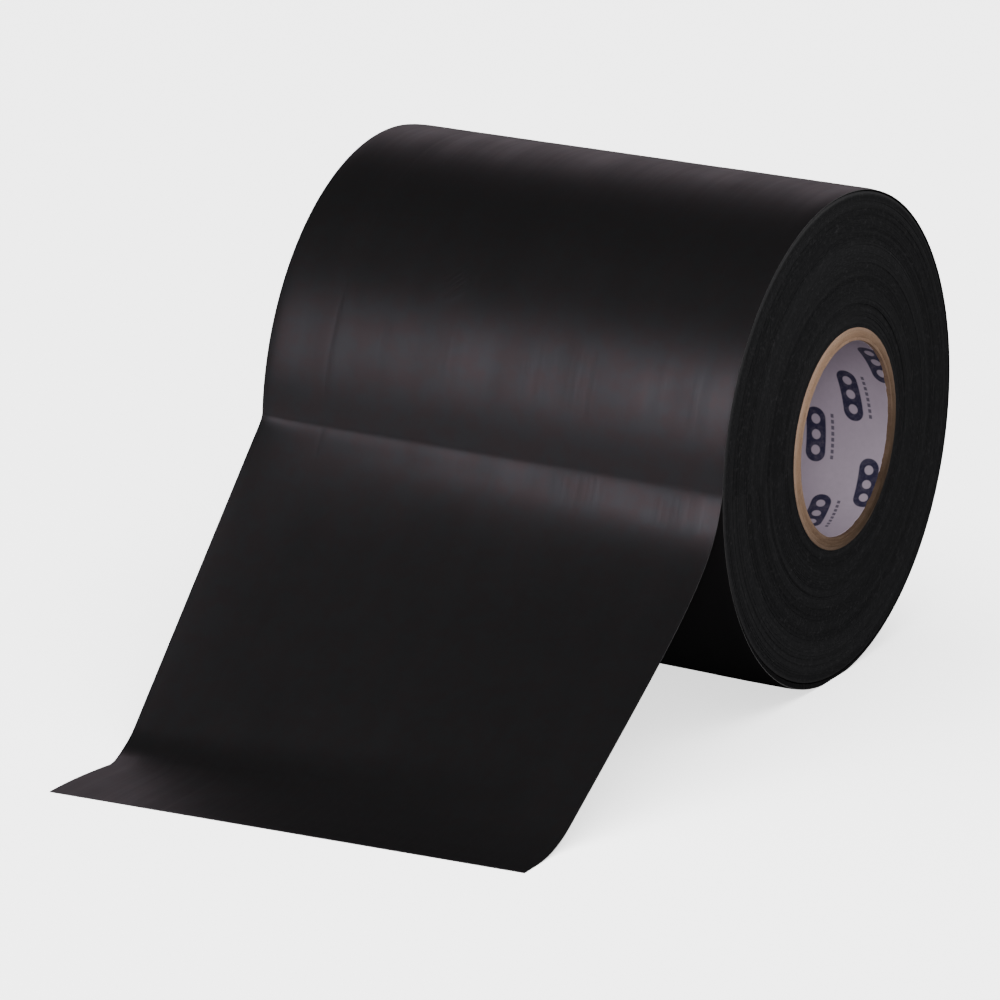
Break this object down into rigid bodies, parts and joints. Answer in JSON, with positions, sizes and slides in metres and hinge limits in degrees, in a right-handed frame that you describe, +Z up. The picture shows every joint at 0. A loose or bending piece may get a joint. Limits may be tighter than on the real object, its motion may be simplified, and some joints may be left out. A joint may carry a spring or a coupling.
{
  "type": "adhesive tape roll",
  "caption": "Wide black PVC tape wound on a cardboard core, lying on its side surface with the free end peeled off and laid out in front.",
  "frame": {"origin": "on the core's bore axis, half-way along the last turn of tape", "axes": "+X along the bore, +Z up, and the free end of the tape points to -Y; the surface that the roll lies on is 48.3 mm below the origin"},
  "size_m": [0.1014, 0.1769, 0.0966],
  "materials": {
    "pvc_film": "satin calendered PVC film, soft wide highlights, faint lengthwise streaks",
    "adhesive": "tacky black rubber adhesive, slightly glossy and finely mottled",
    "kraft_board": "matt brown kraft board, fibrous, cut ends slightly fuzzy",
    "printed_paper": "matt off-white paper with dark navy abstract print"
  },
  "bodies": {
    "last_turn": {"last_turn_film": "pvc_film", "last_turn_adhesive": "adhesive"},
    "roll": {"core_liner": "printed_paper", "core_ply_1": "kraft_board", "core_ply_2": "kraft_board", "core_ply_3": "kraft_board", "core_ply_4": "kraft_board", "wound_tape": "pvc_film"},
    "tongue": {"tongue_film": "pvc_film", "tongue_adhesive": "adhesive"}
  },
  "joints": [
    {"name": "unwind", "type": "hinge", "parent": "last_turn", "child": "roll", "pos_m": [0, 0, 0], "axis": [1, 0, 0], "continuous": true},
    {"name": "tongue_lift", "type": "hinge", "parent": "last_turn", "child": "tongue", "pos_m": [0, -0.0483, 0.0017], "axis": [-0.9996, 0, 0.03], "range_deg": [0, 70]}
  ]
}
